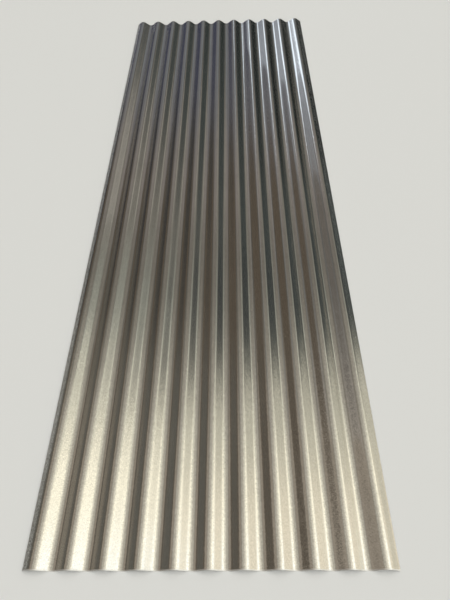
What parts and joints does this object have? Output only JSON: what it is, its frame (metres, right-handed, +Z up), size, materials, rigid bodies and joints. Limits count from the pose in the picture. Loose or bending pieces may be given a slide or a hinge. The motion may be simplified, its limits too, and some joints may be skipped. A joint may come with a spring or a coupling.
{
  "type": "corrugated metal sheet",
  "caption": "Full-length corrugated galvanised steel sheet with even round crests and valleys, slit side edges and square cut ends, for roofs, walls and fences.",
  "frame": {"origin": "middle of the sheet in plan, on the level surface that the undersides of the valleys rest on", "axes": "+X across the corrugations, from the edge with the shorter lap to the edge with the longer one; +Y along the corrugations; +Z up, from the valleys to the crests"},
  "size_m": [0.8166, 2.438, 0.018],
  "materials": {
    "zinc_coating": "satin, finely spangled zinc coating"
  },
  "bodies": {
    "root": {"corrugated_sheet": "zinc_coating"}
  },
  "joints": []
}
